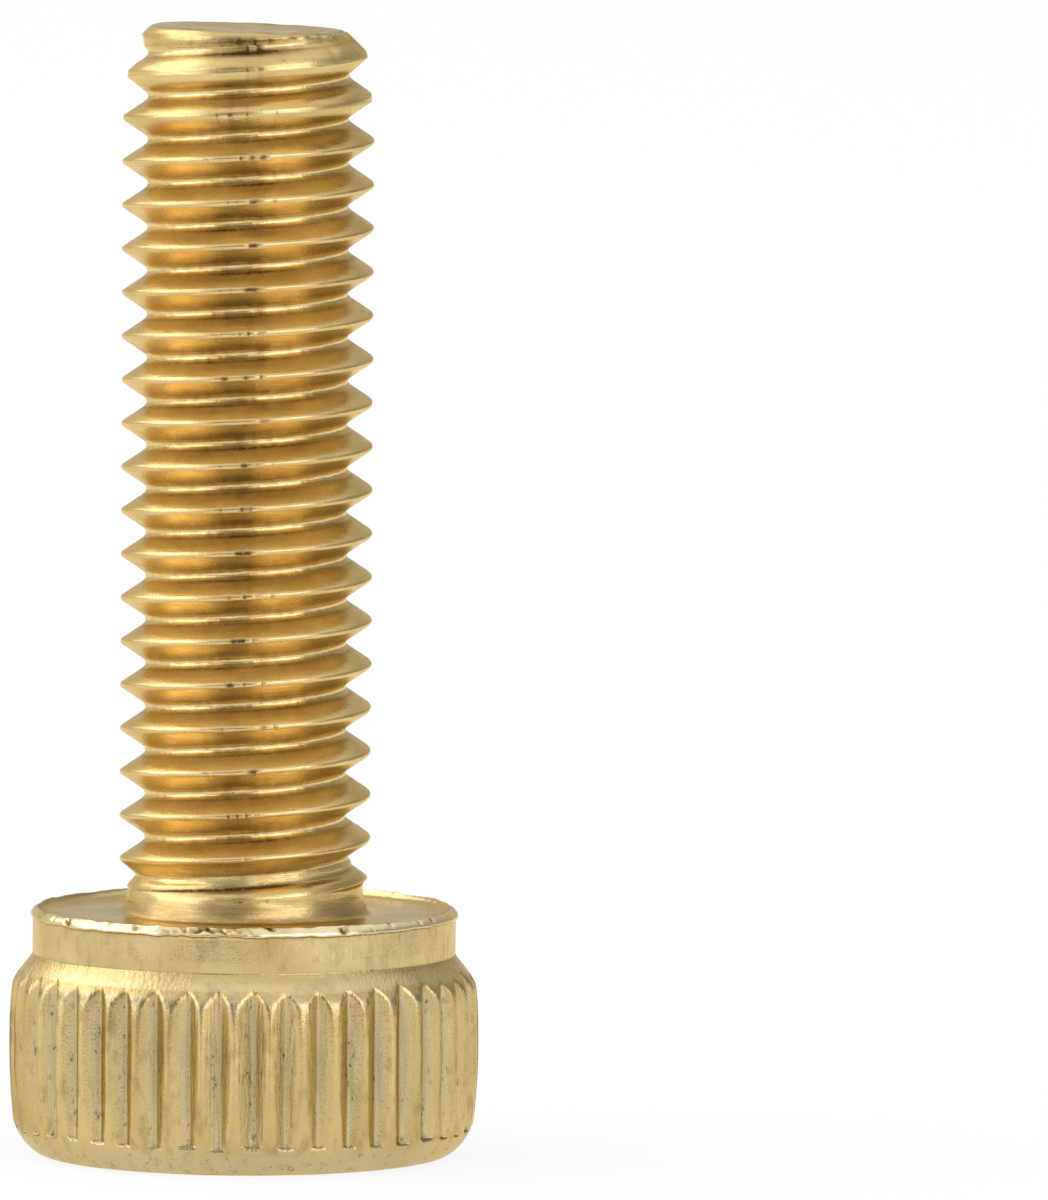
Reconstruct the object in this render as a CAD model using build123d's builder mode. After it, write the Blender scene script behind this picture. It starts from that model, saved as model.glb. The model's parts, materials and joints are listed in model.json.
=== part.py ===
from build123d import *
import os
from math import ceil, radians, tan

# M3 x 0.5 x 10 socket head cap screw with a knurled head, in brass.
#
# Frame: the origin is the centre of the bearing face, on the screw's axis.
# +Z runs along the shank to the tip, so the head lies below Z = 0 and the
# screw stands on the socket end of its head.  All sizes are millimetres.

# ---- driving dimensions: thread -------------------------------------------
thread_major_diameter = 2.9
thread_pitch = 0.5
thread_angle = 60.0            # included angle of the V, degrees
thread_crest_flat = 0.055
thread_root_flat = 0.093
thread_phase = 0.388           # height at which the crest crosses the +X side

# ---- driving dimensions: shank --------------------------------------------
shank_length = 10.2            # bearing face to tip
neck_diameter = 2.8            # plain blank between the head and the thread
neck_length = 0.28
neck_corner = 0.06             # bevel in the corner under the neck
runout_length = 0.34           # cone from the neck down to the thread root
lead_in_length = 1.2           # slight taper of the crests towards the tip
lead_in_taper = 0.12           # how far that taper draws the crests in
tip_chamfer = 0.19

# ---- driving dimensions: head ---------------------------------------------
head_height = 2.77
head_diameter = 5.41           # over the knurl, just below the shoulder
collar_height = 0.42           # plain band under the bearing face
shoulder_height = 0.40         # cone from the collar out to the knurl
shoulder_width = 0.275         # how far the knurl stands out past the collar
barrel_draft = 0.05            # how far the barrel draws in towards its rim
rim_bevel_height = 0.37
rim_bevel_width = 0.285        # from the rim in to the flat of the socket end

# ---- driving dimensions: knurl --------------------------------------------
knurl_grooves = 43
knurl_phase = 4.6              # turn of the first groove from the +X side, degrees
knurl_depth = 0.155
knurl_angle = 90.0             # included angle of each V groove, degrees

# ---- driving dimensions: hexagon socket -----------------------------------
hex_across_flats = 2.5
hex_depth = 1.4
hex_mouth_bevel = 0.13
socket_floor_ledge = 0.08      # between the flats and the cone of the floor
socket_floor_angle = 150.0     # included angle of that cone, degrees

# ---- worked out from the sizes above --------------------------------------
crest_radius = thread_major_diameter / 2
flank_slope = tan(radians(thread_angle / 2))
thread_depth = (thread_pitch - thread_crest_flat - thread_root_flat) / (2 * flank_slope)
root_radius = crest_radius - thread_depth
neck_radius = neck_diameter / 2
lead_in_radius = crest_radius - lead_in_taper
head_radius = head_diameter / 2
collar_radius = head_radius - shoulder_width
rim_radius = head_radius - barrel_draft
socket_end_radius = rim_radius - rim_bevel_width
hex_inradius = hex_across_flats / 2

# heights
bearing_z = 0.0
shoulder_top_z = bearing_z - collar_height
shoulder_foot_z = shoulder_top_z - shoulder_height
socket_end_z = bearing_z - head_height
rim_top_z = socket_end_z + rim_bevel_height
socket_floor_z = socket_end_z + hex_depth
runout_top_z = neck_length + runout_length
lead_in_z = shank_length - lead_in_length
thread_foot_z = neck_length / 2                   # the thread is rooted inside the neck

# the ridge's section, measured outwards from its helix at mid depth
ridge_bite = thread_root_flat / (4 * flank_slope)  # how far it is rooted in the core
ridge_radius = crest_radius - thread_depth / 2
ridge_crest_x = thread_depth / 2
ridge_foot_x = -thread_depth / 2 - ridge_bite
ridge_crest_half = thread_crest_flat / 2
ridge_foot_half = ridge_crest_half + (ridge_crest_x - ridge_foot_x) * flank_slope
ridge_turns_below = ceil((thread_phase - thread_foot_z) / thread_pitch) + 1
ridge_start_z = thread_phase - ridge_turns_below * thread_pitch
ridge_turns = ceil((shank_length - ridge_start_z) / thread_pitch) + 1
envelope_radius = crest_radius + ridge_bite        # clear of the full thread

# the knurl's cutter and the socket's floor
knurl_root_radius = head_radius - knurl_depth
knurl_mouth_radius = head_radius + knurl_depth
knurl_mouth_half = (knurl_mouth_radius - knurl_root_radius) * tan(radians(knurl_angle / 2))
floor_cone_radius = hex_inradius - socket_floor_ledge
floor_cone_depth = floor_cone_radius / tan(radians(socket_floor_angle / 2))

# ---- threaded shank ---------------------------------------------------------
# the right-handed helix that the ridge follows, kept as separate turns
thread_helix = Wire(
    [
        Helix(thread_pitch, thread_pitch, ridge_radius, center=(0, 0, ridge_start_z + turn * thread_pitch))
        for turn in range(ridge_turns)
    ]
)

with BuildPart() as threaded_shank:
    # the core at the thread's root
    with BuildSketch(Plane.XY.offset(ridge_start_z)):
        Circle(root_radius)
    extrude(amount=ridge_turns * thread_pitch)

    # the ridge of the thread
    with BuildSketch(Plane(thread_helix @ 0, x_dir=(1, 0, 0), z_dir=thread_helix % 0)):
        Polygon(
            (ridge_foot_x, -ridge_foot_half),
            (ridge_crest_x, -ridge_crest_half),
            (ridge_crest_x, ridge_crest_half),
            (ridge_foot_x, ridge_foot_half),
            align=None,
        )
    sweep(path=thread_helix, is_frenet=True)

    # its ends: the crests rise out of the neck on a cone, taper slightly
    # towards the tip and stop at the tip's chamfer
    with BuildSketch(Plane.XZ):
        Polygon(
            (0, shank_length),
            (0, thread_foot_z),
            (root_radius, thread_foot_z),
            (envelope_radius, runout_top_z),
            (envelope_radius, lead_in_z),
            (lead_in_radius, shank_length - tip_chamfer),
            (lead_in_radius - tip_chamfer, shank_length),
            align=None,
        )
    revolve(axis=Axis.Z, mode=Mode.INTERSECT)

# ---- screw ------------------------------------------------------------------
with BuildPart() as screw:
    # the turned blank: run-out, neck, bearing face, collar, shoulder, barrel
    # with a slight draft, rim bevel and socket end
    with BuildSketch(Plane.XZ):
        Polygon(
            (0, runout_top_z),
            (root_radius, runout_top_z),
            (neck_radius, neck_length),
            (neck_radius, bearing_z + neck_corner),
            (neck_radius + neck_corner, bearing_z),
            (collar_radius, bearing_z),
            (collar_radius, shoulder_top_z),
            (head_radius, shoulder_foot_z),
            (rim_radius, rim_top_z),
            (socket_end_radius, socket_end_z),
            (0, socket_end_z),
            align=None,
        )
    revolve(axis=Axis.Z)

    # straight knurl: V grooves that die out on the shoulder and on the rim bevel
    with BuildSketch(Plane.XY.offset(socket_end_z)):
        with PolarLocations(0, knurl_grooves, start_angle=knurl_phase):
            Polygon(
                (knurl_root_radius, 0),
                (knurl_mouth_radius, -knurl_mouth_half),
                (knurl_mouth_radius, knurl_mouth_half),
                align=None,
            )
    extrude(amount=head_height, mode=Mode.SUBTRACT)

    # hexagon socket with a bevelled mouth and a shallow cone for a floor
    with BuildSketch(Plane.XY.offset(socket_end_z)):
        RegularPolygon(hex_inradius, side_count=6, major_radius=False)
    extrude(amount=hex_depth, mode=Mode.SUBTRACT)
    socket_end_face = screw.faces().sort_by(Axis.Z)[0]
    chamfer(socket_end_face.inner_wires()[0].edges(), hex_mouth_bevel)
    with Locations((0, 0, socket_floor_z)):
        Cone(
            floor_cone_radius, 0, floor_cone_depth,
            align=(Align.CENTER, Align.CENTER, Align.MIN),
            mode=Mode.SUBTRACT,
        )

    add(threaded_shank.part)

screw.part.label = "screw"
os.makedirs("parts", exist_ok=True)
export_step(screw.part, "parts/screw.step")
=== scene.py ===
import json
from math import radians, tan

import bpy
import numpy as np
from mathutils import Matrix, Vector


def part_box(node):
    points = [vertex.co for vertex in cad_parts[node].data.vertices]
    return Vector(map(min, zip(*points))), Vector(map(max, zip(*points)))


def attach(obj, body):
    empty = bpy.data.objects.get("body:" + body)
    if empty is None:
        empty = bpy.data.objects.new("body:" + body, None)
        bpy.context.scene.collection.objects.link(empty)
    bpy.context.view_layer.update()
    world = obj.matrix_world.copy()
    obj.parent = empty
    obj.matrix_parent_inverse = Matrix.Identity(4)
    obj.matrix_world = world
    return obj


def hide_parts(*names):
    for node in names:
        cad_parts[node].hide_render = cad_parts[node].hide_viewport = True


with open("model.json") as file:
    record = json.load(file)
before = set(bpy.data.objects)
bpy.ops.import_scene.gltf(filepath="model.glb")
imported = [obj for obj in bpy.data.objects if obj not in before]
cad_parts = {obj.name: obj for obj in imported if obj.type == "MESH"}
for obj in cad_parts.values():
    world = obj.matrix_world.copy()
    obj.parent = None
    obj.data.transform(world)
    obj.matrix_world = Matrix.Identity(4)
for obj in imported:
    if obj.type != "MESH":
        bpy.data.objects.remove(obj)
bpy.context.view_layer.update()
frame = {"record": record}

MM = 0.001

# ---- sizes in millimetres ---------------------------------------------------
LOW, HIGH = (np.array(corner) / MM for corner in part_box("screw"))
TIP_Z = HIGH[2]
END_Z = LOW[2]
HEAD_R = min(*HIGH[:2], *-LOW[:2])    # over the knurl
MOUNTS = {mount["name"]: mount for mount in frame["record"]["mounts"]}
NECK_R = MOUNTS["shank"]["dims"]["r_mm"] - 0.045

# thread
PITCH = 0.5
CREST_R = 1.44
CREST_HALF = 0.0370                   # half the width of the worn crest
ROOT_HALF = 0.0440                    # half the width of the rounded root
ROUNDING = 2.2                        # how crisply crest and root turn
FLANK = tan(radians(60.0))            # rise of a flank for each mm along the axis
PHASE = 0.368                         # height of a crest on the +X side
ROOT_R = CREST_R - PITCH / 2 * FLANK + (CREST_HALF + ROOT_HALF) * FLANK
DIE_AND_SHADE_SIDE = radians(268)               # where the die closed and bit into the crests; painted shade on the thread is heaviest there too

# ends of the thread
SHANK_FOOT = 0.25                     # the helical grid begins here
NECK_TOP = 0.30
RUNOUT_R = 1.225                      # floor of the last, shallower groove
LEAD_IN_Z = TIP_Z - 1.2
LEAD_IN = 0.12                        # how far the crests draw in at the tip
TIP_EDGE_R = 1.135                    # where the chamfer meets the end face
TIP_SKEW = 0.036                      # the end face is cut a little askew
TIP_ROUND = 0.035
TIP_DISH = 0.060

# head
FACE_R = 2.20                         # bearing face, inside its burred edge
COLLAR_R = HEAD_R - 0.273
COLLAR_FOOT = -0.445
SHOULDER_TOP = -0.488
CROWN_Z = -1.45                       # widest place of the barrel
RIM_TOP = -2.34
RIM_ORDER = 2 / 1.55                  # of the rim's superellipse
RIM_END_R = HEAD_R - 0.385            # where the rim meets the socket end

# burred edge of the bearing face, its marks at angles round the axis
LIP_SLOPE = radians(50)
LIP_WORN = radians(261)
LIP_NICKS = np.radians([214, 277, 298])

# knurl
KNURL_COUNT = 43
KNURL_PHASE = radians(4.6)
KNURL_ROOT_R = 2.562
KNURL_SLOPE = 0.86
KNURL_FOOT = -2.43

# socket
SOCKET_END_R = 2.24                   # the flat ring's outer edge
HEX_INRADIUS = 1.25
HEX_BEVEL = 0.13
SOCKET_FLOOR = END_Z + 1.4
SOCKET_PEAK = SOCKET_FLOOR + 0.314
CONE_R = 1.17

# columns of the skin round the axis
SLIM = 258                            # shank and socket: six equal sides of 43
WIDE = 2 * SLIM                       # outside of the head: twelve to a groove
SLIM_ANGLES = np.arange(SLIM) * 2 * np.pi / SLIM


# ---- helpers ----------------------------------------------------------------
def ripple(angle, height, seed, finest, reach, waves=28):
    """Noise that closes round the axis: a sum of sine waves, each with a whole
    number of turns round the axis, a slope along it and a chance phase, the
    finer waves being the weaker.  The result runs from about -1 to 1."""
    chance = np.random.default_rng(seed)
    total = np.zeros(np.broadcast(angle, height).shape)
    weight = 0.0
    for turns in chance.integers(1, finest, waves):
        strength = turns ** -0.35
        slope = chance.normal(0.0, 2 * np.pi / reach)
        phase = chance.uniform(0, 2 * np.pi)
        total += strength * np.sin(turns * angle + slope * height + phase)
        weight += strength ** 2
    return total / (1.4 * weight ** 0.5)


def chance_line(place, seed, step, length):
    """Noise along a line: chance values at equal steps, joined by straight
    runs and repeated after the given length."""
    count = max(2, int(length / step))
    values = np.random.default_rng(seed).random(count)
    steps = np.arange(count + 1)
    return np.interp(place / length * count % count, steps, np.append(values, values[0]))


def apart(angle, place):
    """How far each angle lies from a place, the short way round."""
    return np.angle(np.exp(1j * (angle - place)))


def bell(offset, spread):
    """A bell curve: 1 at no offset, about a third at the spread."""
    return np.exp(-((offset / spread) ** 2))


def fade(value, start, end):
    """A straight rise from 0 at the start to 1 at the end, level outside."""
    return np.clip((value - start) / (end - start), 0, 1)


def column(*values):
    """One number for each row of a grid."""
    return np.array(values, dtype=float)[:, None]


def soft_min(a, b, width):
    """The smaller of two surfaces, with a rounded corner of the given width
    where they cross."""
    return (a + b - np.sqrt((a - b) ** 2 + width ** 2)) / 2


def soft_max(a, b, width):
    """The larger of two surfaces, with the same rounded corner."""
    return (a + b + np.sqrt((a - b) ** 2 + width ** 2)) / 2


def corner(a, b, order):
    """A curve that runs from the straight line b into the level a: the root,
    of the given order, of the sum of their powers.  A high order is crisp."""
    return (np.abs(a) ** order + np.abs(b) ** order) ** (1 / order)


def around(radius, angle, height):
    """Points at a radius and an angle about the axis, at a height."""
    radius, angle, height = np.broadcast_arrays(radius, angle, height)
    return np.stack([radius * np.cos(angle), radius * np.sin(angle), height], axis=-1)


# ---- the skin's grid --------------------------------------------------------
class Skin:
    """The screw's closed surface, gathered grid by grid from the tip down the
    outside and up into the socket, so that every face points outwards."""

    def __init__(self):
        self.points, self.tarnish_and_painted_light, self.faces, self.finishes = [], [], [], []
        self.count = 0

    def put(self, points, tarnish_and_painted_light=0.0):
        """Adds points of any grid shape and gives back their numbers."""
        shape = points.shape[:-1]
        self.points.append(points.reshape(-1, 3))
        self.tarnish_and_painted_light.append(np.broadcast_to(tarnish_and_painted_light, shape).reshape(-1))
        numbers = self.count + np.arange(int(np.prod(shape))).reshape(shape)
        self.count += numbers.size
        return numbers

    def cover(self, corners, finish):
        """Adds triangles, given as rows of three point numbers."""
        corners = corners.reshape(-1, 3)
        self.faces.append(corners)
        self.finishes.append(np.full(len(corners), finish))

    def quilt(self, upper, lower, finish):
        """Covers the strip between rows of points, each row closed on itself."""
        upper_next, lower_next = np.roll(upper, -1, -1), np.roll(lower, -1, -1)
        self.cover(np.stack([upper, lower, lower_next], -1), finish)
        self.cover(np.stack([upper, lower_next, upper_next], -1), finish)

    def rings(self, points, finish, tarnish_and_painted_light=0.0):
        """Covers a grid whose rows are closed rings; gives its first and last."""
        numbers = self.put(points, tarnish_and_painted_light)
        self.quilt(numbers[:-1], numbers[1:], finish)
        return numbers[0], numbers[-1]

    def widen(self, slim, wide, finish, slim_first):
        """Joins a ring to one of twice its points: three triangles a step."""
        even, odd = wide[0::2], wide[1::2]
        slim_next, even_next = np.roll(slim, -1), np.roll(even, -1)
        steps = [(slim, even, odd), (slim, odd, slim_next), (slim_next, odd, even_next)]
        for a, b, c in steps:
            turn = (a, b, c) if slim_first else (a, c, b)
            self.cover(np.stack(turn, -1), finish)

    def close(self, ring, pole, finish, ring_first):
        """Closes a ring onto one point on the axis."""
        centre = self.put(np.array([[0.0, 0.0, pole]]))
        centre = np.broadcast_to(centre, ring.shape)
        ahead = np.roll(ring, -1)
        turn = (ring, centre, ahead) if ring_first else (centre, ring, ahead)
        self.cover(np.stack(turn, -1), finish)

    def mesh(self, name, finishes):
        """Welds points that lie in one place, drops faces that have closed up
        and gives the mesh, in metres."""
        points = np.concatenate(self.points)
        keys = np.round(points * 1e6).astype(np.int64)
        _, first, welded = np.unique(keys, axis=0, return_index=True, return_inverse=True)
        faces = welded.reshape(-1)[np.concatenate(self.faces)]
        finish = np.concatenate(self.finishes)
        whole = np.all(faces != np.roll(faces, 1, axis=1), axis=1)
        faces, finish = faces[whole], finish[whole]

        mesh = bpy.data.meshes.new(name)
        mesh.vertices.add(len(first))
        mesh.vertices.foreach_set("co", (points[first] * MM).ravel())
        mesh.loops.add(faces.size)
        mesh.loops.foreach_set("vertex_index", faces.ravel())
        mesh.polygons.add(len(faces))
        mesh.polygons.foreach_set("loop_start", np.arange(0, faces.size, 3))
        mesh.polygons.foreach_set("material_index", finish)
        mesh.update(calc_edges=True)
        mesh.shade_smooth()
        # per point: oxidised dark in some places, painted shade in others, painted highlight
        # below zero
        tarnish_and_painted_light = np.concatenate(self.tarnish_and_painted_light)[first].astype(np.float32)
        mesh.attributes.new("tarnish_and_painted_light", "FLOAT", "POINT").data.foreach_set("value", tarnish_and_painted_light)
        for material in finishes:
            mesh.materials.append(material)
        return mesh


# the finish of a face, in the order in which the mesh is given its materials
THREAD, FACE, HEAD, SOCKET = range(4)


# ---- shank ------------------------------------------------------------------
def thread_place(angle, height):
    """Distance along the axis from the nearest crest, positive above it, and
    how many turns up the helix that crest is at this angle."""
    turns = (height - PHASE) / PITCH - angle / (2 * np.pi)
    nearest = np.round(turns)
    return (turns - nearest) * PITCH, nearest + angle / (2 * np.pi)


def along_thread(turn, seed, step):
    """Chance values along the helix, from 0 to 1, a step in millimetres apart."""
    lap = 2 * np.pi * CREST_R
    return chance_line(turn * lap, seed, step, 26 * lap)


def chewed_and_shaded(turn, spread):
    """1 on the side where the die closed, which is also where painted shade on the thread is
    heaviest, dying out over a spread of degrees.
    """
    return bell(apart(2 * np.pi * turn, DIE_AND_SHADE_SIDE), radians(spread))


def crest_nicks(turn):
    """How deep the crest is nicked: short chips by chance, crowded on the side where the die
    closed, 0 between them."""
    limit = 0.90 - 0.42 * chewed_and_shaded(turn, 13)
    return fade(along_thread(turn, 3, 0.050), limit, limit + 0.25)


def last_groove(height):
    """1 in the last groove before the neck, 0 above it."""
    return fade(height, 0.45, 0.40) * fade(height, 0.22, 0.26)


def last_lap(above, height):
    """A sharp line in the last groove, low in its flank, where the rolled
    metal has closed on itself: a narrow bell curve across the line."""
    return last_groove(height) * bell(above - 0.148, 0.013)


def tip_line(angle, share=1.0):
    """Height of the end face, which is cut askew, at a share of its radius."""
    return TIP_Z - TIP_SKEW * (1 + share * np.cos(angle))


def ridge_radius(above, turn):
    """Radius of the full thread: a rounded crest and a crisper root run into
    the two straight flanks.  The crest is worn and nicked, and the root is
    rough, by chance along the helix."""
    away = np.abs(above)
    rise = PITCH / 2 - away
    crest, root = CREST_HALF * FLANK, ROOT_HALF * FLANK
    full_rise = corner(root, FLANK * PITCH / 2, ROUNDING) - FLANK * PITCH / 2
    radius = CREST_R + crest - corner(crest, FLANK * away, ROUNDING)
    radius += corner(root, FLANK * rise, ROUNDING) - FLANK * rise - full_rise

    wear = along_thread(turn, 5, 0.35) - 0.5
    radius -= bell(away, 0.036) * (0.010 * crest_nicks(turn) + 0.010 * wear)
    rough = along_thread(turn + 0.2, 7, 0.06) - 0.5
    return radius + 0.012 * bell(rise, 0.05) * rough


def thread_radius(angle, height):
    """Radius of the threaded shank.  A cone brings the roots up to the neck at
    the foot, where the last groove has a sharp lap, another draws the crests
    in towards the tip, and the chamfer ends them, a little ragged on one side."""
    above, turn = thread_place(angle, height)
    floor_z = [NECK_TOP, 0.44, 0.58, 0.70]
    floor_r = [NECK_R, RUNOUT_R + 0.010, RUNOUT_R, ROOT_R]
    radius = soft_max(ridge_radius(above, turn), np.interp(height, floor_z, floor_r), 0.008)
    radius -= 0.030 * last_lap(above, height)
    neck_cone = NECK_R + 0.70 * np.clip(height - NECK_TOP - 0.035, 0, None)
    taper = CREST_R - LEAD_IN * (height - LEAD_IN_Z) / (TIP_Z - LEAD_IN_Z)
    chamfer = TIP_EDGE_R + tip_line(angle) - TIP_ROUND - height
    ragged_side = np.exp(3 * np.cos(angle - radians(335)) - 3)
    chamfer = chamfer + 0.030 * ripple(angle, height, 4, 45, 3.0) * ragged_side
    radius = soft_min(radius, neck_cone, 0.008)
    radius = soft_min(radius, taper + 0.004, 0.006)
    radius = soft_min(radius, chamfer, 0.016)
    plain = fade(height, NECK_TOP - 0.04, NECK_TOP - 0.10)
    return radius * (1 - plain) + np.minimum(radius, NECK_R) * plain


def thread_tarnish_and_painted_light(angle, height):
    """Painted shade in lines low in the flanks and over the flanks towards the root, patchy along
    the helix, heaviest on the die side, and black in the lap of the last groove; oxidised dark in
    the nicks of the crest and in specks along the root; painted highlight, below zero, on the
    crest and, unevenly, in the root."""
    above, turn = thread_place(angle, height)
    away = np.abs(above)
    threaded = height > NECK_TOP
    # painted shade: dark lines low in both flanks, patchy along the helix, heaviest on the die
    # side
    lines = bell(above - 0.182, 0.022) + 0.7 * bell(above + 0.188, 0.022)
    patchy = 0.20 + 0.55 * along_thread(turn, 8, 0.5) + 0.25 * along_thread(turn, 9, 0.08)
    patchy *= 0.28 + 0.34 * chewed_and_shaded(turn, 45)
    dark = lines * patchy * (1 - last_groove(height))
    # painted shade over the flanks, deepening towards the root, heaviest on the die side
    flank = fade(away, 0.04, 0.16) * (away < 0.20)
    dark += (0.15 + 0.08 * chewed_and_shaded(turn, 40)) * flank * threaded
    # painted shade: black along the lap of the last groove, heaviest on the die side
    dark += 1.1 * last_lap(above, height) * chewed_and_shaded(turn, 60)

    crest = bell(above, 0.03)
    tip_band = 0.6 * fade(height, TIP_Z - 0.32, TIP_Z - 0.27)
    dark += 0.8 * crest_nicks(turn) * np.maximum(crest, tip_band)
    dark += 0.5 * tip_band * chewed_and_shaded(turn, 22)

    root = fade(away, 0.20, 0.23) * (1 - last_groove(height))
    uneven = (along_thread(turn, 14, 0.075) - 0.5) * (0.35 + 0.65 * chewed_and_shaded(turn, 50))
    dark += 0.9 * root * np.clip(-uneven - 0.12, 0, 1) * threaded
    # painted highlight, given below zero, on the crest and, unevenly, in the root
    bright = 0.20 * crest + 0.32 * root * (1 + 2 * uneven)
    return np.clip(dark, 0, 1) - bright * (dark < 0.1)


def shank(skin):
    """The threaded shank, on a grid whose rows run along the helix: a row is
    one place in the thread's section, raised by a pitch for each turn, and is
    held between the foot and the head of the thread."""
    # heights above a crest: more rows where the section turns, and at the laps
    section = [0, 0.020, 0.038, 0.127, 0.148, 0.182, 0.222, 0.250, 0.278, 0.312, 0.462, 0.480]
    turns = column(*range(-3, int(TIP_Z / PITCH) + 3))
    starts = (PHASE + turns * PITCH + section).ravel()[::-1]
    step = len(section)
    heights = starts[:, None] + PITCH * SLIM_ANGLES / (2 * np.pi)
    heights = np.clip(heights, SHANK_FOOT, tip_line(SLIM_ANGLES) - TIP_ROUND)
    angles = np.broadcast_to(SLIM_ANGLES, heights.shape)
    points = around(thread_radius(angles, heights), angles, heights)
    numbers = skin.put(points, thread_tarnish_and_painted_light(angles, heights))

    # one turn further round, a row meets the row that began a pitch higher
    ahead = np.roll(numbers, -1, axis=1)
    ahead[:, -1] = np.concatenate([np.full(step, numbers[0, 0]), numbers[:-step, 0]])
    upper, lower = numbers[:-1], numbers[1:]
    skin.cover(np.stack([upper, lower, ahead[1:]], -1), THREAD)
    skin.cover(np.stack([upper, ahead[1:], ahead[:-1]], -1), THREAD)


def tip(skin):
    """The end of the shank: a face dished to a parabola and faintly rippled by
    the cutting-off, with a rounded edge, a cubic, that runs into the chamfer."""
    rim = thread_radius(SLIM_ANGLES, tip_line(SLIM_ANGLES) - TIP_ROUND)
    share = column(0.20, 0.42, 0.62, 0.78, 0.88, 0.935, 0.968, 0.990, 1.0)
    sink = TIP_ROUND * fade(share, 0.88, 1.0) ** 3
    sink = sink + TIP_DISH * np.clip(1 - (share / 0.9) ** 2, 0, 1)
    outer = fade(share, 0.20, 0.55) * (share < 0.97)
    sink = sink + np.clip(0.014 * ripple(SLIM_ANGLES, 30 * share, 11, 14, 9.0), 0, None) * outer
    stain = 0.5 * np.clip(ripple(SLIM_ANGLES, 6 * share, 12, 9, 3.0), 0, 1) * outer
    end = around(rim * share, SLIM_ANGLES, tip_line(SLIM_ANGLES, share) - sink)
    first, _ = skin.rings(end, FACE, stain)
    skin.close(first, TIP_Z - TIP_SKEW - TIP_DISH - 0.005, FACE, ring_first=False)


def neck(skin):
    """The plain neck, flaring into a fillet where it meets the bearing face,
    then the face itself, with a slight swell."""
    foot = thread_radius(SLIM_ANGLES, SHANK_FOOT)
    radius = foot + column(0, 0.002, 0.014, 0.030, 0.044, 0.066, 0.100)
    height = column(SHANK_FOOT, 0.225, 0.155, 0.085, 0.045, 0.015, 0)
    radius[1:-1] += 0.011 * ripple(SLIM_ANGLES, 12 * height[1:-1], 10, 15, 1.5)
    # painted shade down the fillet, deepest in the corner with the bearing face
    tarnish_and_painted_light = column(0, 0.2, 0.3, 0.35, 0.4, 0.4, 0.25)
    skin.rings(around(radius, SLIM_ANGLES, height), THREAD, tarnish_and_painted_light)

    share = column(0.0, 0.12, 0.35, 0.65, 1.0)
    radius = radius[-1] * (1 - share) + FACE_R * share
    swell = 0.004 * np.sin(np.pi * share) + 0.0015 * ripple(SLIM_ANGLES, 3 * share, 13, 9, 4.0)
    swell = swell * (share > 0) * (share < 1)
    # the face's inner ring keeps some of that painted shade
    _, last = skin.rings(around(radius, SLIM_ANGLES, swell), FACE, 0.25 * (share == 0))
    return last


# ---- head -------------------------------------------------------------------
def groove_centres():
    """Angles of the grooves: equal steps, each with a slight error of pitch."""
    error = np.random.default_rng(21).uniform(-0.5, 0.5, KNURL_COUNT)
    return KNURL_PHASE + (np.arange(KNURL_COUNT) + 0.10 * error) * 2 * np.pi / KNURL_COUNT


def wide_angles():
    """Columns of the head, twelve from each groove's centre to the next."""
    centres = groove_centres()
    places = (np.arange(WIDE) - 7) / 12
    groove = np.floor(places).astype(int)

    def centre(number):
        """Angle of a groove, counted on past a full turn."""
        return centres[number % KNURL_COUNT] + 2 * np.pi * (number // KNURL_COUNT)

    here, there = centre(groove), centre(groove + 1)
    return here + (there - here) * (places - groove)


def nearest_groove(angle):
    """Which groove is nearest, and the angle from its middle."""
    offsets = apart(angle[:, None], groove_centres())
    which = np.argmin(np.abs(offsets), axis=1)
    return which, offsets[np.arange(len(angle)), which]


def groove_feet(angle):
    """Height of the foot of the nearest groove, uneven by chance."""
    uneven = np.random.default_rng(21).uniform(-0.035, 0.035, KNURL_COUNT)
    return KNURL_FOOT + uneven[nearest_groove(angle)[0]]


def knurled(angle, radius, height):
    """Cuts the knurl into a plain radius.  Each groove is an open V with a
    rounded bottom, struck a little deeper or shallower by chance, and ends in
    a step at its foot.  It dies out where the plain radius falls below its
    bottom, which gives its pointed upper end."""
    chance = np.random.default_rng(22)
    deeper = chance.uniform(-0.022, 0.018, KNURL_COUNT)
    lean = chance.uniform(-0.04, 0.16, KNURL_COUNT)
    which, off = nearest_groove(angle)
    off = off * radius
    wobble = 0.006 * ripple(angle, height, 23, 60, 1.1)
    flank = corner(KNURL_SLOPE * off, 0.020, 2) - 0.020
    cutter = KNURL_ROOT_R + deeper[which] + wobble + flank + lean[which] * off
    return np.where(height < groove_feet(angle) - 0.004, radius, soft_min(radius, cutter, 0.006))


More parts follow.
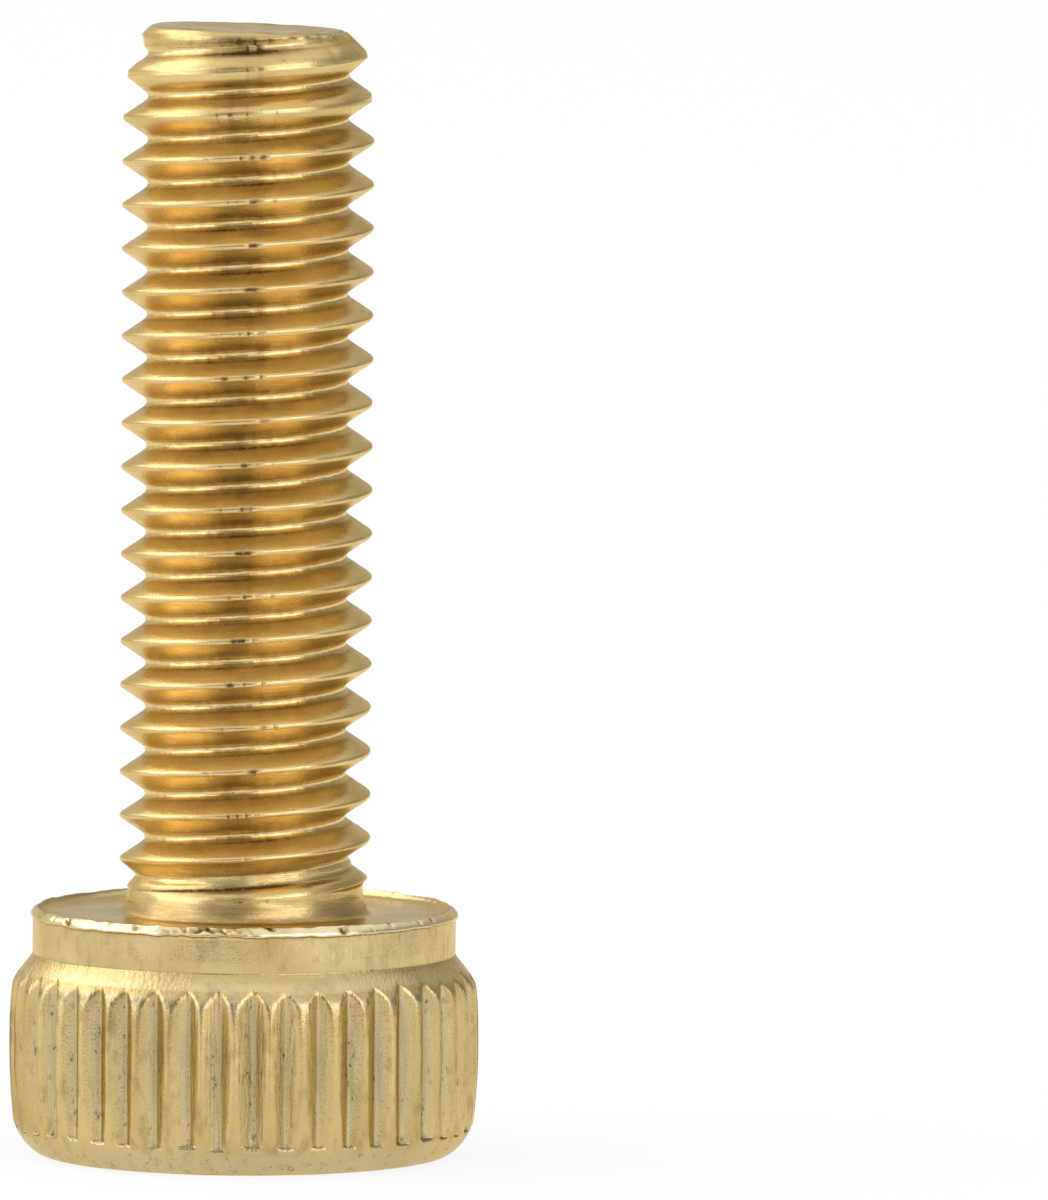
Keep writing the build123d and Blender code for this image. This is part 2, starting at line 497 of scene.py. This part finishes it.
def bearing_lip(angle):
    """The edge of the bearing face: a burr that stands up from it and rolls over outwards, a
    flattened bead. Its section is an ellipse that slopes down and out, of ragged size, with nicks
    by chance, three deep ones and one worn stretch. Gives radius, height, and a value that is
    dark in the nicks and, below zero, a painted highlight on the bead's outer face, patchy and
    strongest at the front."""
    fine = 0.08 * ripple(angle, 0.0, 31, 130, 1.0)
    size = 1.05 + fine + 0.16 * ripple(angle, 0.0, 32, 30, 1.0)
    nick = 0.8 * np.clip(chance_line(angle, 33, 0.030, 2 * np.pi) - 0.80, 0, None) / 0.20
    worn = bell(apart(angle, LIP_WORN), 0.17)
    nick = nick + 1.3 * worn * chance_line(angle, 34, 0.022, 2 * np.pi)
    for place in LIP_NICKS:
        nick = nick + bell(apart(angle, place), 0.02)
    turn = np.radians(column(225, 195, 165, 135, 105, 75, 45, 15, -15, -45))
    deepest = radians(55) + radians(100) * chance_line(angle, 28, 0.030, 2 * np.pi)
    nick = nick * bell(turn - deepest, radians(32))

    long = 0.066 * size * np.cos(turn)
    wide = (0.024 * size - 0.058 * nick) * np.sin(turn)
    radius = COLLAR_R - 0.020 + long * np.cos(LIP_SLOPE) + wide * np.sin(LIP_SLOPE)
    height = 0.011 - long * np.sin(LIP_SLOPE) + wide * np.cos(LIP_SLOPE)
    height = height + 0.010 * ripple(angle, 0.0, 29, 80, 1.0) * np.cos(turn)

    # painted highlight on the bead's outer face, patchy and strongest at the front; the nicks
    # stay dark
    patchy = np.clip(0.9 + 0.4 * ripple(angle, 0.0, 30, 60, 1.0), 0, 1)
    front = np.clip(0.6 - np.sin(angle), 0.2, 1)
    bright = 0.85 * np.clip(1.4 * np.sin(turn), 0, 1) * patchy * front
    return radius, height, np.where(nick > 0.12, nick, -bright) * (np.sin(turn) > 0)


def barrel(height):
    """Plain radius of the knurled barrel: a slight crown, a parabola, met at
    its upper end by the cone of the shoulder."""
    crown = HEAD_R - 0.0025 - 0.060 * (height - CROWN_Z) ** 2
    return soft_min(crown, COLLAR_R + 0.006 + 0.80 * (SHOULDER_TOP - height), 0.050)


# rows of the head's grid, from the collar down
COLLAR_ROWS, CREASE_ROWS, RIM_ROWS = 5, 4, 13
BARREL_ROW = COLLAR_ROWS + CREASE_ROWS
STEP_ROW = 4 - RIM_ROWS               # the foot of the knurl's step


def rim(angle):
    """Radius and height of the rim: a quarter of a superellipse from the
    barrel down to the socket end, three of its rows set close together where
    the knurl ends in a step."""
    turn = np.radians(column(0, 9, 18, 18, 18, 27, 36, 45, 54, 63, 72, 81, 90))
    height = RIM_TOP + (END_Z - RIM_TOP) * np.sin(turn) ** RIM_ORDER + 0 * angle
    height[2:5] = groove_feet(angle) + column(0.007, 0.0, -0.007)
    turn = np.arcsin(((RIM_TOP - height) / (RIM_TOP - END_Z)) ** (1 / RIM_ORDER))
    radius = RIM_END_R + (barrel(RIM_TOP) - RIM_END_R) * np.abs(np.cos(turn)) ** RIM_ORDER
    return radius, height


def head_profile(angle, lip_r, lip_z):
    """Radius and height of the head before it is knurled: the collar, the
    crease and ledge under it, the shoulder, the crowned barrel and the rim."""
    collar_z = lip_z + (COLLAR_FOOT - lip_z) * column(0, 0.12, 0.4, 0.7, 1.0)
    collar_r = COLLAR_R - 0.002 + 0.0025 * ripple(angle, collar_z, 35, 16, 0.8)
    collar_r[0] = lip_r
    crease_z = COLLAR_FOOT - column(0.011, 0.023, 0.033, 0.045)
    crease_r = COLLAR_R + column(-0.010, -0.009, 0.002, 0.008)
    shoulder_z = np.linspace(-0.506, -0.84, 11)
    barrel_z = column(*shoulder_z, -0.88, -1.0, -1.2, -1.45, -1.75, -2.05)
    rim_r, rim_z = rim(angle)

    height = np.vstack([collar_z, crease_z + 0 * angle, barrel_z + 0 * angle, rim_z])
    radius = np.vstack([collar_r, crease_r + 0 * angle, barrel(barrel_z) + 0 * angle, rim_r])
    rough = slice(COLLAR_ROWS, -1)
    radius[rough] += 0.0018 * ripple(angle, height[rough], 36, 30, 1.5)
    return np.minimum(radius, HEAD_R - 0.0005), height


def head_tarnish_and_painted_light(angle, height, depth):
    """Dull, with painted shade, in the grooves, more so with their depth, darkest at their feet
    and in patches at the upper ends of the lands, heaviest near the front; painted highlight,
    below zero, on the shoulder and round most of the collar, with painted shade on the collar
    near the front, in the crease under it and low on the rim."""
    land = np.clip(1 - depth / 0.03, 0, 1)
    # painted shade, deeper in deeper grooves
    groove = 0.55 * np.clip(depth / 0.12, 0, 1) ** 1.5
    # painted shadow at the closed feet of the grooves
    foot = (1 - land) * np.exp((groove_feet(angle) - height) / 0.03)
    # painted shade in patches at the upper ends of the lands, heaviest near the front
    land_top_shade = chance_line(angle, 38, 0.10, 2 * np.pi) - 0.05 + 0.5 * np.cos(angle - radians(255))
    land_top_shade = land * bell(height + 0.80, 0.09) * np.clip(land_top_shade, 0, 1)
    # painted highlight on the shoulder's lands
    shoulder_highlight = 0.40 * bell(height + 0.63, 0.13) * land
    tarnish_and_painted_light = np.maximum(groove, 0.7 * np.maximum(foot, land_top_shade)) - shoulder_highlight * (land_top_shade < 0.1)
    # painted shadow on the step at each groove's foot
    tarnish_and_painted_light[STEP_ROW] = 0.7 * (1 - land[STEP_ROW - 1])
    # the collar: painted highlight round most of it, painted shade near the front
    tarnish_and_painted_light[:COLLAR_ROWS] = 0.45 * bell(apart(angle, radians(263)), 0.22) - 0.25
    # painted shade in the crease under the collar
    crease = column(0.6, 0.6, 0.0) * (0.7 + 0.3 * ripple(angle, 0.0, 37, 90, 1.0))
    tarnish_and_painted_light[COLLAR_ROWS:BARREL_ROW - 1] = crease
    # painted shade low on the rim, darker towards the bottom
    tarnish_and_painted_light = np.maximum(tarnish_and_painted_light, 0.30 * fade(height, -2.46, -2.54) - (height > -2.4))
    # a fine dark line, then a bright edge, where the rim meets the socket end
    tarnish_and_painted_light[-2] = 0.55 + 0.25 * ripple(angle, 0.0, 39, 40, 1.0)
    tarnish_and_painted_light[-1] = -0.6
    return tarnish_and_painted_light


def head(skin, bearing_rim):
    """The outside of the head, one profile carried round the axis: the lip of
    the bearing face, then the rest, cut by the knurl."""
    angle = wide_angles()
    lip_r, lip_z, lip_nicks_and_highlight = bearing_lip(angle)
    first, _ = skin.rings(around(lip_r, angle, lip_z), FACE, lip_nicks_and_highlight)
    skin.widen(bearing_rim, first, FACE, slim_first=True)

    plain, height = head_profile(angle, lip_r[-1], lip_z[-1])
    radius = plain.copy()
    cut = slice(BARREL_ROW, -2)
    radius[cut] = [knurled(angle, r, z) for r, z in zip(plain[cut], height[cut])]
    tarnish_and_painted_light = head_tarnish_and_painted_light(angle, height, plain - radius)
    _, last = skin.rings(around(radius, angle, height), HEAD, tarnish_and_painted_light)
    return last


# ---- socket -----------------------------------------------------------------
def hexagon(inradius, softness=70):
    """Radius of a hexagon with corners on the X axis, softened a little: a
    high-order mean of how far each of the six flats lets a ray go."""
    flats = radians(30) + np.arange(6) * np.pi / 3
    reach = np.clip(np.cos(SLIM_ANGLES[:, None] - flats), 0, None)
    return inradius / np.sum(reach ** softness, axis=1) ** (1 / softness)


def socket(skin, end_rim):
    """The flat socket end, the bevelled mouth and the punched walls, then a
    ledge and a shallow cone, carried round a hexagon that turns to a circle."""
    flat = column(0.0, 0.35, 0.70, 0.92, 1.0)
    mouth = hexagon(HEX_INRADIUS + HEX_BEVEL + 0.012)
    end = around(SOCKET_END_R * (1 - flat) + mouth * flat, SLIM_ANGLES, END_Z)
    first, _ = skin.rings(end, FACE)
    skin.widen(first, end_rim, FACE, slim_first=False)

    # each row: how far outside the flats, and how deep
    section = np.array([
        (0.142, 0.000), (0.132, 0.003), (0.118, 0.014), (0.066, 0.066), (0.014, 0.118),
        (0.004, 0.132), (0.000, 0.160), (0.000, 0.40), (0.000, 0.65), (0.000, 0.90),
        (0.000, 1.15), (0.000, 1.32), (-0.006, 1.365), (-0.024, 1.39), (-0.055, 1.40),
    ])
    rings = np.array([hexagon(HEX_INRADIUS + offset) for offset in section[:, 0]])
    depth = section[:, 1:]
    rough = 0.008 * ripple(SLIM_ANGLES, END_Z + depth, 41, 70, 1.2) * fade(depth, 0.15, 0.35)
    walls = around(rings + rough, SLIM_ANGLES, END_Z + depth + 0 * SLIM_ANGLES)
    skin.rings(walls, SOCKET, np.clip(depth / 1.4, 0, 1))

    share = column(0.0, 0.35, 0.7, 1.0)
    ledge_r = (rings[-1] + rough[-1]) * (1 - share) + CONE_R * share
    skin.rings(around(ledge_r, SLIM_ANGLES, SOCKET_FLOOR), SOCKET, 1.0)
    share = column(1.0, 0.985, 0.9, 0.72, 0.52, 0.32, 0.14)
    lumps = 0.024 * ripple(SLIM_ANGLES, 2 * share, 42, 12, 1.0) * (1 - share)
    height = SOCKET_FLOOR + (SOCKET_PEAK - SOCKET_FLOOR) * (1 - share) + lumps
    _, last = skin.rings(around(CONE_R * share, SLIM_ANGLES, height), SOCKET, 1.0)
    skin.close(last, SOCKET_PEAK - 0.02, SOCKET, ring_first=True)


# ---- finishes ---------------------------------------------------------------
class Graph:
    """The nodes of a material or a world, wired by short calls."""

    def __init__(self, owner):
        owner.use_nodes = True
        self.nodes, self.links = owner.node_tree.nodes, owner.node_tree.links

    def node(self, kind, **settings):
        """Makes a node of a kind, with its settings."""
        made = self.nodes.new("ShaderNode" + kind)
        for key, value in settings.items():
            setattr(made, key, value)
        return made

    def wire(self, source, target):
        """Leads an output, or a plain number or colour, into an input."""
        if hasattr(source, "is_output"):
            self.links.new(source, target)
        else:
            target.default_value = source

    def span(self, value, start, end, low=0.0, high=1.0):
        """Spreads start..end of a value over low..high."""
        spread = self.node("MapRange", interpolation_type="SMOOTHSTEP")
        self.wire(value, spread.inputs["Value"])
        limits = {"From Min": start, "From Max": end, "To Min": low, "To Max": high}
        for key, number in limits.items():
            spread.inputs[key].default_value = number
        return spread.outputs["Result"]

    def calc(self, operation, a, b):
        """One step of arithmetic on two values."""
        step = self.node("Math", operation=operation)
        self.wire(a, step.inputs[0])
        self.wire(b, step.inputs[1])
        return step.outputs[0]

    def blend(self, share, a, b):
        """Colour a, turned to colour b by the share."""
        mix = self.node("Mix", data_type="RGBA")
        self.wire(share, mix.inputs[0])
        self.wire(a, mix.inputs[6])
        self.wire(b, mix.inputs[7])
        return mix.outputs[2]

    def mingle(self, share, a, b):
        """Shader a, turned to shader b by the share."""
        mix = self.node("MixShader")
        for source, target in zip((share, a, b), mix.inputs):
            self.wire(source, target)
        return mix.outputs[0]


class Finish(Graph):
    """A metal whose colour, gloss and bumps follow the place on the object."""

    def __init__(self, name):
        self.material = bpy.data.materials.new(name)
        super().__init__(self.material)
        self.shader = self.nodes["Principled BSDF"]
        self.place = self.node("TexCoord").outputs["Object"]

    def noise(self, stretch, detail=3.0, roughness=0.55):
        """Noise whose features lie so many to the millimetre along X, Y, Z."""
        mapping = self.node("Mapping")
        self.wire([per_mm / MM for per_mm in stretch], mapping.inputs["Scale"])
        self.wire(self.place, mapping.inputs["Vector"])
        noise = self.node("TexNoise")
        self.wire(mapping.outputs["Vector"], noise.inputs["Vector"])
        for key, number in {"Scale": 1.0, "Detail": detail, "Roughness": roughness}.items():
            noise.inputs[key].default_value = number
        return noise.outputs["Fac"]

    def tarnish_and_painted_light(self):
        """The mesh's own value of oxidation and painted light: 1 is dark, oxidised in some places
        and painted shade in others, -1 is painted highlight.
        """
        return self.node("Attribute", attribute_name="tarnish_and_painted_light").outputs["Fac"]

    def dent(self, height, depth, before=None):
        """Bumps of the given depth in millimetres."""
        bump = self.node("Bump")
        bump.inputs["Strength"].default_value = 1.0
        bump.inputs["Distance"].default_value = depth * MM
        self.wire(height, bump.inputs["Height"])
        if before is not None:
            self.wire(before, bump.inputs["Normal"])
        return bump.outputs["Normal"]

    def finish(self, colour, rough, normal):
        """Sets the shader and gives the material."""
        self.shader.inputs["Metallic"].default_value = 1.0
        self.shader.inputs["Specular Tint"].default_value = (1.0, 0.88, 0.62, 1)
        self.wire(colour, self.shader.inputs["Base Color"])
        self.wire(rough, self.shader.inputs["Roughness"])
        self.wire(normal, self.shader.inputs["Normal"])
        return self.material


OXIDE_AND_SHADE = (0.10, 0.055, 0.018, 1)       # dark oxidised brass where it is tarnished, and painted shade
PAINTED_HIGHLIGHT = (0.92, 0.79, 0.50, 1)        # painted highlight where the mesh's value is below zero


def thread_brass():
    """Rolled thread: warm burnished brass, faintly clouded and streaked along the turns, with
    dark oxidised brass and painted shade where it is tarnished, painted highlight where the
    mesh's value is below zero, and fine dark specks."""
    brass = Finish("thread_brass")
    cloud = brass.noise((1.3, 1.3, 1.3))
    streak = brass.noise((3.0, 3.0, 26.0), detail=4.0)
    speck = brass.noise((24.0, 24.0, 30.0), detail=2.0)
    pale, deep = (0.77, 0.565, 0.26, 1), (0.67, 0.475, 0.20, 1)
    colour = brass.blend(brass.span(cloud, 0.35, 0.65), pale, deep)
    colour = brass.blend(brass.span(streak, 0.45, 0.75, 0.0, 0.35), colour, (0.56, 0.37, 0.13, 1))
    oxide_and_shade = brass.span(speck, 0.25, 0.55, 0.70, 1.25)
    # painted shade as well as dark oxidised brass, where the mesh's value is above zero
    oxide_and_shade = brass.calc("MULTIPLY", brass.span(brass.tarnish_and_painted_light(), 0, 1), oxide_and_shade)
    oxide_and_shade = brass.calc("MAXIMUM", oxide_and_shade, brass.span(speck, 0.70, 0.78, 0.0, 0.7))
    colour = brass.blend(brass.span(brass.tarnish_and_painted_light(), 0, -1), colour, PAINTED_HIGHLIGHT)
    colour = brass.blend(oxide_and_shade, colour, OXIDE_AND_SHADE)
    dull = brass.calc("MULTIPLY", oxide_and_shade, 0.2)
    rough = brass.calc("ADD", brass.span(streak, 0.3, 0.7, 0.20, 0.32), dull)
    normal = brass.dent(streak, 0.0035)
    normal = brass.dent(brass.noise((34.0, 34.0, 34.0)), 0.0020, normal)
    return brass.finish(colour, rough, normal)


def face_brass():
    """Bearing face and socket end: turned flat, fine rings round the axis."""
    brass = Finish("face_brass")
    flatten = brass.node("VectorMath", operation="MULTIPLY")
    brass.wire(brass.place, flatten.inputs[0])
    flatten.inputs[1].default_value = (1, 1, 0)
    length = brass.node("VectorMath", operation="LENGTH")
    brass.wire(flatten.outputs["Vector"], length.inputs[0])
    ring = brass.node("TexNoise", noise_dimensions="1D")
    brass.wire(length.outputs["Value"], ring.inputs["W"])
    ring.inputs["Scale"].default_value = 22 / MM
    ring.inputs["Detail"].default_value = 2.0
    cloud = brass.noise((1.6, 1.6, 1.6))
    grain = brass.noise((28.0, 28.0, 28.0))
    pale, deep = (0.66, 0.505, 0.265, 1), (0.57, 0.425, 0.205, 1)
    colour = brass.blend(brass.span(cloud, 0.35, 0.65), pale, deep)
    # painted highlight below zero, on the lip; above zero, dark in the lip's nicks and the end
    # face's stains, and painted shade in the corner by the neck
    colour = brass.blend(brass.span(brass.tarnish_and_painted_light(), 0, -1), colour, PAINTED_HIGHLIGHT)
    colour = brass.blend(brass.span(brass.tarnish_and_painted_light(), 0, 1), colour, OXIDE_AND_SHADE)
    coarse = brass.span(grain, 0.4, 0.8, 0.0, 0.10)
    rough = brass.calc("ADD", brass.span(cloud, 0.3, 0.7, 0.14, 0.22), coarse)
    normal = brass.dent(ring.outputs["Fac"], 0.0012)
    normal = brass.dent(grain, 0.0014, normal)
    return brass.finish(colour, rough, normal)


def head_brass():
    """Head: satin brass, drawn along the axis in the knurl, mottled, dull and greyer in the
    grooves, with painted shade, brown, in the grooves, the crease and the other places the mesh
    marks dark, and fine dark marks gathered in patches in the grooves; painted highlight where
    the mesh's value is below zero."""
    brass = Finish("head_brass")
    cloud = brass.noise((0.8, 0.8, 0.5))
    mottle = brass.noise((7.0, 7.0, 4.0), detail=5.0)
    drawn = brass.noise((24.0, 24.0, 2.2), detail=4.0)
    grain = brass.noise((30.0, 30.0, 30.0))
    marks = brass.noise((26.0, 26.0, 12.0), detail=3.0)
    pale, deep = (0.68, 0.505, 0.23, 1), (0.53, 0.375, 0.155, 1)
    colour = brass.blend(brass.span(cloud, 0.35, 0.65), pale, deep)
    colour = brass.blend(brass.span(mottle, 0.48, 0.70, 0.0, 0.55), colour, (0.36, 0.25, 0.10, 1))
    patch = brass.span(mottle, 0.50, 0.62, 0.10, 1.0)
    dark = brass.calc("MULTIPLY", brass.span(marks, 0.52, 0.64, 0.0, 0.9), patch)
    dark = brass.calc("MULTIPLY", dark, brass.span(brass.tarnish_and_painted_light(), 0.1, 0.5))
    greyer = brass.span(brass.tarnish_and_painted_light(), 0.05, 0.40, 0.0, 0.8)
    colour = brass.blend(greyer, colour, (0.58, 0.47, 0.265, 1))
    # painted shade: brown where the mesh's value is high
    groove = brass.span(brass.tarnish_and_painted_light(), 0.3, 1.0, 0.0, 0.8)
    colour = brass.blend(brass.span(brass.tarnish_and_painted_light(), 0, -1), colour, PAINTED_HIGHLIGHT)
    colour = brass.blend(brass.calc("MAXIMUM", dark, groove), colour, OXIDE_AND_SHADE)
    coarse = brass.span(grain, 0.4, 0.8, 0.0, 0.10)
    rough = brass.calc("ADD", brass.span(drawn, 0.3, 0.7, 0.16, 0.30), coarse)
    normal = brass.dent(drawn, 0.0080)
    normal = brass.dent(grain, 0.0036, normal)
    return brass.finish(colour, rough, normal)


def socket_brass():
    """Punched socket: copper-brown drawn walls over a coarse floor, the colour darker the deeper
    it lies.
    """
    brass = Finish("socket_brass")
    cloud = brass.noise((1.8, 1.8, 1.2))
    drawn = brass.noise((14.0, 14.0, 1.8), detail=4.0)
    grain = brass.noise((20.0, 20.0, 20.0))
    pale, deep = (0.62, 0.41, 0.17, 1), (0.42, 0.24, 0.09, 1)
    colour = brass.blend(brass.span(cloud, 0.3, 0.7), pale, deep)
    # darker the deeper it lies in the socket
    darker_with_depth = brass.span(brass.tarnish_and_painted_light(), 0.0, 0.9, 0.0, 0.75)
    colour = brass.blend(darker_with_depth, colour, (0.30, 0.15, 0.05, 1))
    coarse = brass.span(grain, 0.3, 0.7, 0.0, 0.14)
    rough = brass.calc("ADD", brass.span(drawn, 0.3, 0.7, 0.26, 0.42), coarse)
    normal = brass.dent(drawn, 0.0100)
    normal = brass.dent(grain, 0.0060, normal)
    return brass.finish(colour, rough, normal)


# ---- studio -----------------------------------------------------------------
def floor_material():
    """Matt white floor, seen as near white by the camera and by the metal,
    that keeps the shadow; clear from below, so the socket can be looked at."""
    material = bpy.data.materials.new("studio_floor")
    graph = Graph(material)
    graph.nodes.clear()
    paint = graph.node("BsdfDiffuse")
    paint.inputs["Color"].default_value = (0.93, 0.93, 0.925, 1)
    glow = graph.node("Emission")
    glow.inputs["Color"].default_value = (1, 1, 1, 1)
    rays = graph.node("LightPath").outputs
    seen = graph.calc("MAXIMUM", rays["Is Camera Ray"], rays["Is Glossy Ray"])
    seen = graph.calc("MAXIMUM", seen, rays["Is Transmission Ray"])
    surface = graph.mingle(graph.calc("MULTIPLY", seen, 0.86), paint.outputs[0], glow.outputs[0])
    below = graph.node("NewGeometry").outputs["Backfacing"]
    clear = graph.node("BsdfTransparent")
    shown = graph.mingle(below, surface, clear.outputs[0])
    graph.wire(shown, graph.node("OutputMaterial").inputs["Surface"])
    return material


def studio_floor():
    """A round floor just under the head, far larger than the view."""
    reach, gap, sides = 1600, 0.002, 64
    turn = np.arange(sides) * 2 * np.pi / sides
    ring = around(reach, turn, END_Z - gap) * MM
    mesh = bpy.data.meshes.new("studio_floor")
    mesh.from_pydata(ring.tolist(), [], [list(range(sides))])
    mesh.materials.append(floor_material())
    floor = bpy.data.objects.new("studio_floor", mesh)
    bpy.context.scene.collection.objects.link(floor)


# brightness of the room round the screw; places are shares of a turn from -X,
# by way of -Y, where the camera is
ROOM_BAND = (
    (0.00, 0.87), (0.08, 0.87), (0.15, 0.40), (0.24, 0.22), (0.30, 0.65), (0.40, 0.65),
    (0.47, 0.38), (0.60, 0.32), (0.70, 0.58), (0.83, 0.66), (0.92, 0.87), (1.00, 0.87),
)


def studio_room():
    """The room: a pale ceiling over a soft band round the screw, which is
    palest on the left and darkest behind the camera and on the right."""
    world = bpy.data.worlds.new("studio_room")
    bpy.context.scene.world = world
    graph = Graph(world)
    direction = graph.node("TexCoord").outputs["Generated"]
    round_about = graph.node("TexGradient", gradient_type="RADIAL")
    graph.wire(direction, round_about.inputs["Vector"])
    band = graph.node("ValToRGB")
    graph.wire(round_about.outputs["Fac"], band.inputs["Fac"])
    ramp = band.color_ramp
    ramp.interpolation = "B_SPLINE"
    while len(ramp.elements) < len(ROOM_BAND):
        ramp.elements.new(0.5)
    for element, (place, level) in zip(ramp.elements, ROOM_BAND):
        element.position = place
        element.color = (level, level, level, 1)

    height = graph.node("SeparateXYZ")
    graph.wire(direction, height.inputs[0])
    above = graph.span(height.outputs["Z"], 0.45, 0.85)
    room = graph.blend(above, band.outputs["Color"], (0.95, 0.95, 0.95, 1))
    graph.wire(room, graph.nodes["Background"].inputs["Color"])
    graph.nodes["Background"].inputs["Strength"].default_value = 1.0


def soft_lamp(name, towards, distance, width, height, level):
    """A soft lamp that faces the screw from the given direction; the level is
    how bright its face looks, 1 being white."""
    lamp = bpy.data.lights.new(name, "AREA")
    lamp.shape = "RECTANGLE"
    lamp.size, lamp.size_y = width, height
    lamp.energy = level * np.pi * width * height
    thing = bpy.data.objects.new(name, lamp)
    bpy.context.scene.collection.objects.link(thing)
    direction = Vector(towards).normalized()
    thing.location = direction * distance
    thing.rotation_mode = "QUATERNION"
    thing.rotation_quaternion = direction.to_track_quat("Z", "Y")
    thing.visible_camera = False


def lamps():
    """Three large soft lamps: in front on the right, on the left, and above
    and behind on the left."""
    soft_lamp("lamp_right", (0.62, -0.80, 0.42), 0.55, 0.52, 0.36, 1.5)
    soft_lamp("lamp_left", (-0.97, -0.30, 0.42), 0.55, 0.56, 0.36, 1.3)
    soft_lamp("lamp_over", (-0.68, 0.31, 0.70), 0.60, 0.56, 0.42, 1.15)


# ---- camera -----------------------------------------------------------------
def camera():
    """A long lens a little above the screw, turned so that the screw stands at
    the left of a frame of 1048 by 1200."""
    view = bpy.data.cameras.new("camera")
    view.sensor_width = 36.0
    view.lens = 18.0 / tan(radians(4.130) / 2)
    view.clip_start, view.clip_end = 0.01, 10.0
    eye = Vector((0.0, -190.0, 19.5)) * MM
    aim = Vector((3.185, 0.0, 3.61)) * MM
    roll = Matrix.Rotation(radians(0.38), 3, "Z")
    turn = (aim - eye).to_track_quat("-Z", "Y").to_matrix() @ roll
    thing = bpy.data.objects.new("camera", view)
    thing.matrix_world = Matrix.Translation(eye) @ turn.to_4x4()
    bpy.context.scene.collection.objects.link(thing)
    bpy.context.scene.camera = thing


# ---- making -----------------------------------------------------------------
def screw():
    """The whole screw as one closed piece, made from the tip to the socket."""
    skin = Skin()
    tip(skin)
    shank(skin)
    bearing_rim = neck(skin)
    end_rim = head(skin, bearing_rim)
    socket(skin, end_rim)
    mesh = skin.mesh("brass_screw", [thread_brass(), face_brass(), head_brass(), socket_brass()])
    piece = bpy.data.objects.new("brass_screw", mesh)
    bpy.context.scene.collection.objects.link(piece)
    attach(piece, "root")
    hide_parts("screw")


screw()
studio_floor()
studio_room()
lamps()
camera()
bpy.context.scene.view_settings.view_transform = "Standard"
